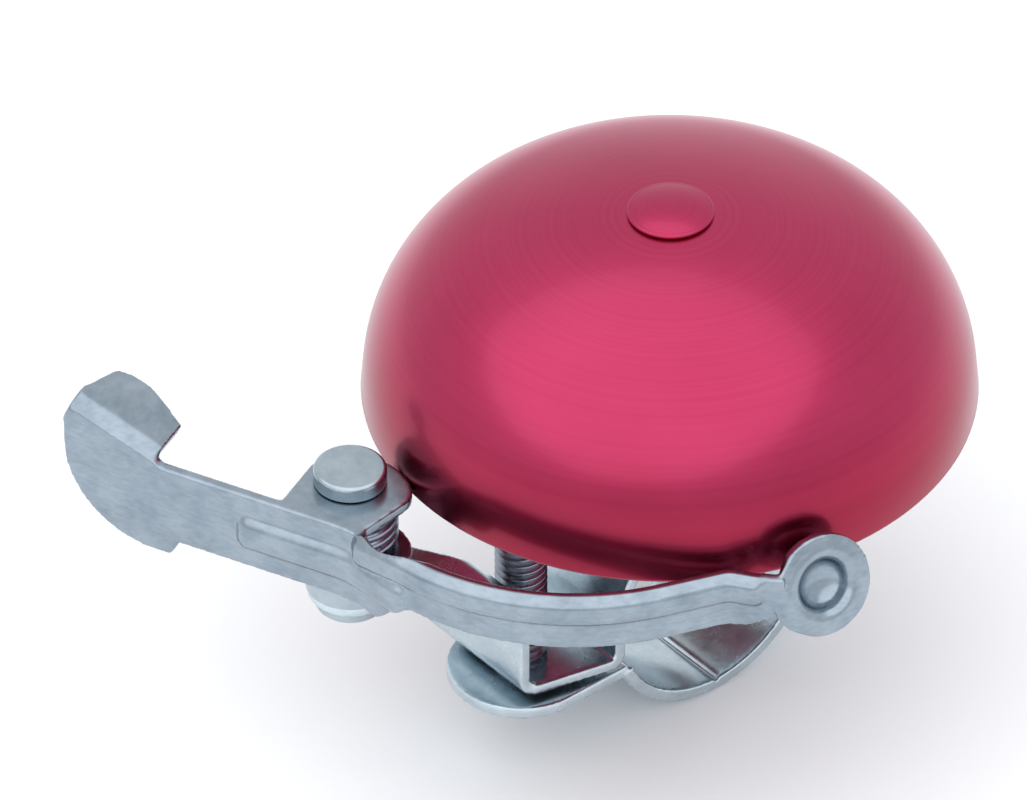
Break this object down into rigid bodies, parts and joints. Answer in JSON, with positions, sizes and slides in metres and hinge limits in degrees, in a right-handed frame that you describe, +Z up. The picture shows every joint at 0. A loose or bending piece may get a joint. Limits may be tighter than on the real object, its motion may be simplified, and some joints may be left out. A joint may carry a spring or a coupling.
{
  "type": "bicycle bell",
  "caption": "Domed striker bell with a sprung thumb lever, on a post above a hinged handlebar clamp.",
  "frame": {"origin": "centre of the handlebar clamp, where the bar's axis crosses the dome's axis", "axes": "+Y along the handlebar, +Z up along the dome's axis, -X towards the lever's pivot and the clamp screw"},
  "size_m": [0.0771, 0.0631, 0.0532],
  "materials": {
    "dome_red": "polished and red anodised",
    "zinc_strip": "bright zinc plated sheet",
    "zinc_turned": "bright zinc plated, turned",
    "screw_steel": "zinc plated, rolled thread",
    "spring_steel": "drawn spring wire, plated"
  },
  "bodies": {
    "bracket": {"bell_dome": "dome_red", "dome_screw": "dome_red", "dome_washer": "zinc_turned", "bell_post": "zinc_turned", "saddle_bracket": "zinc_strip", "pivot_rivet": "zinc_turned", "pivot_bush": "zinc_turned", "pivot_washer": "zinc_turned", "return_spring": "spring_steel"},
    "lever": {"striker_lever": "zinc_strip"},
    "band": {"lower_band": "zinc_strip"},
    "washers": {"clamp_washer": "screw_steel"},
    "screw": {"clamp_screw": "screw_steel"}
  },
  "joints": [
    {"name": "lever_swing", "type": "hinge", "parent": "bracket", "child": "lever", "pos_m": [-0.0324, 0.0071, 0.0166], "axis": [0, 0, -1], "range_deg": [-0.9, 25], "stiffness_Nm_per_rad": 0.03, "deforming": ["return_spring"]},
    {"name": "band_swing", "type": "hinge", "parent": "bracket", "child": "band", "pos_m": [0.0135, 0, -0.0033], "axis": [0, -1, 0], "range_deg": [0, 3.8]},
    {"name": "screw_travel", "type": "slide", "parent": "bracket", "child": "washers", "axis": [0, 0, -1], "range_m": [0, 0.00241]},
    {"name": "screw_turn", "type": "hinge", "parent": "washers", "child": "screw", "pos_m": [-0.0179, 0, 0], "axis": [0, 0, -1], "range_deg": [0, 1080]}
  ],
  "couplings": [
    {"joint": "screw_travel", "follows": "screw_turn", "m_per_rad": 0.00012732},
    {"joint": "band_swing", "follows": "screw_turn", "ratio": 0.0035}
  ]
}
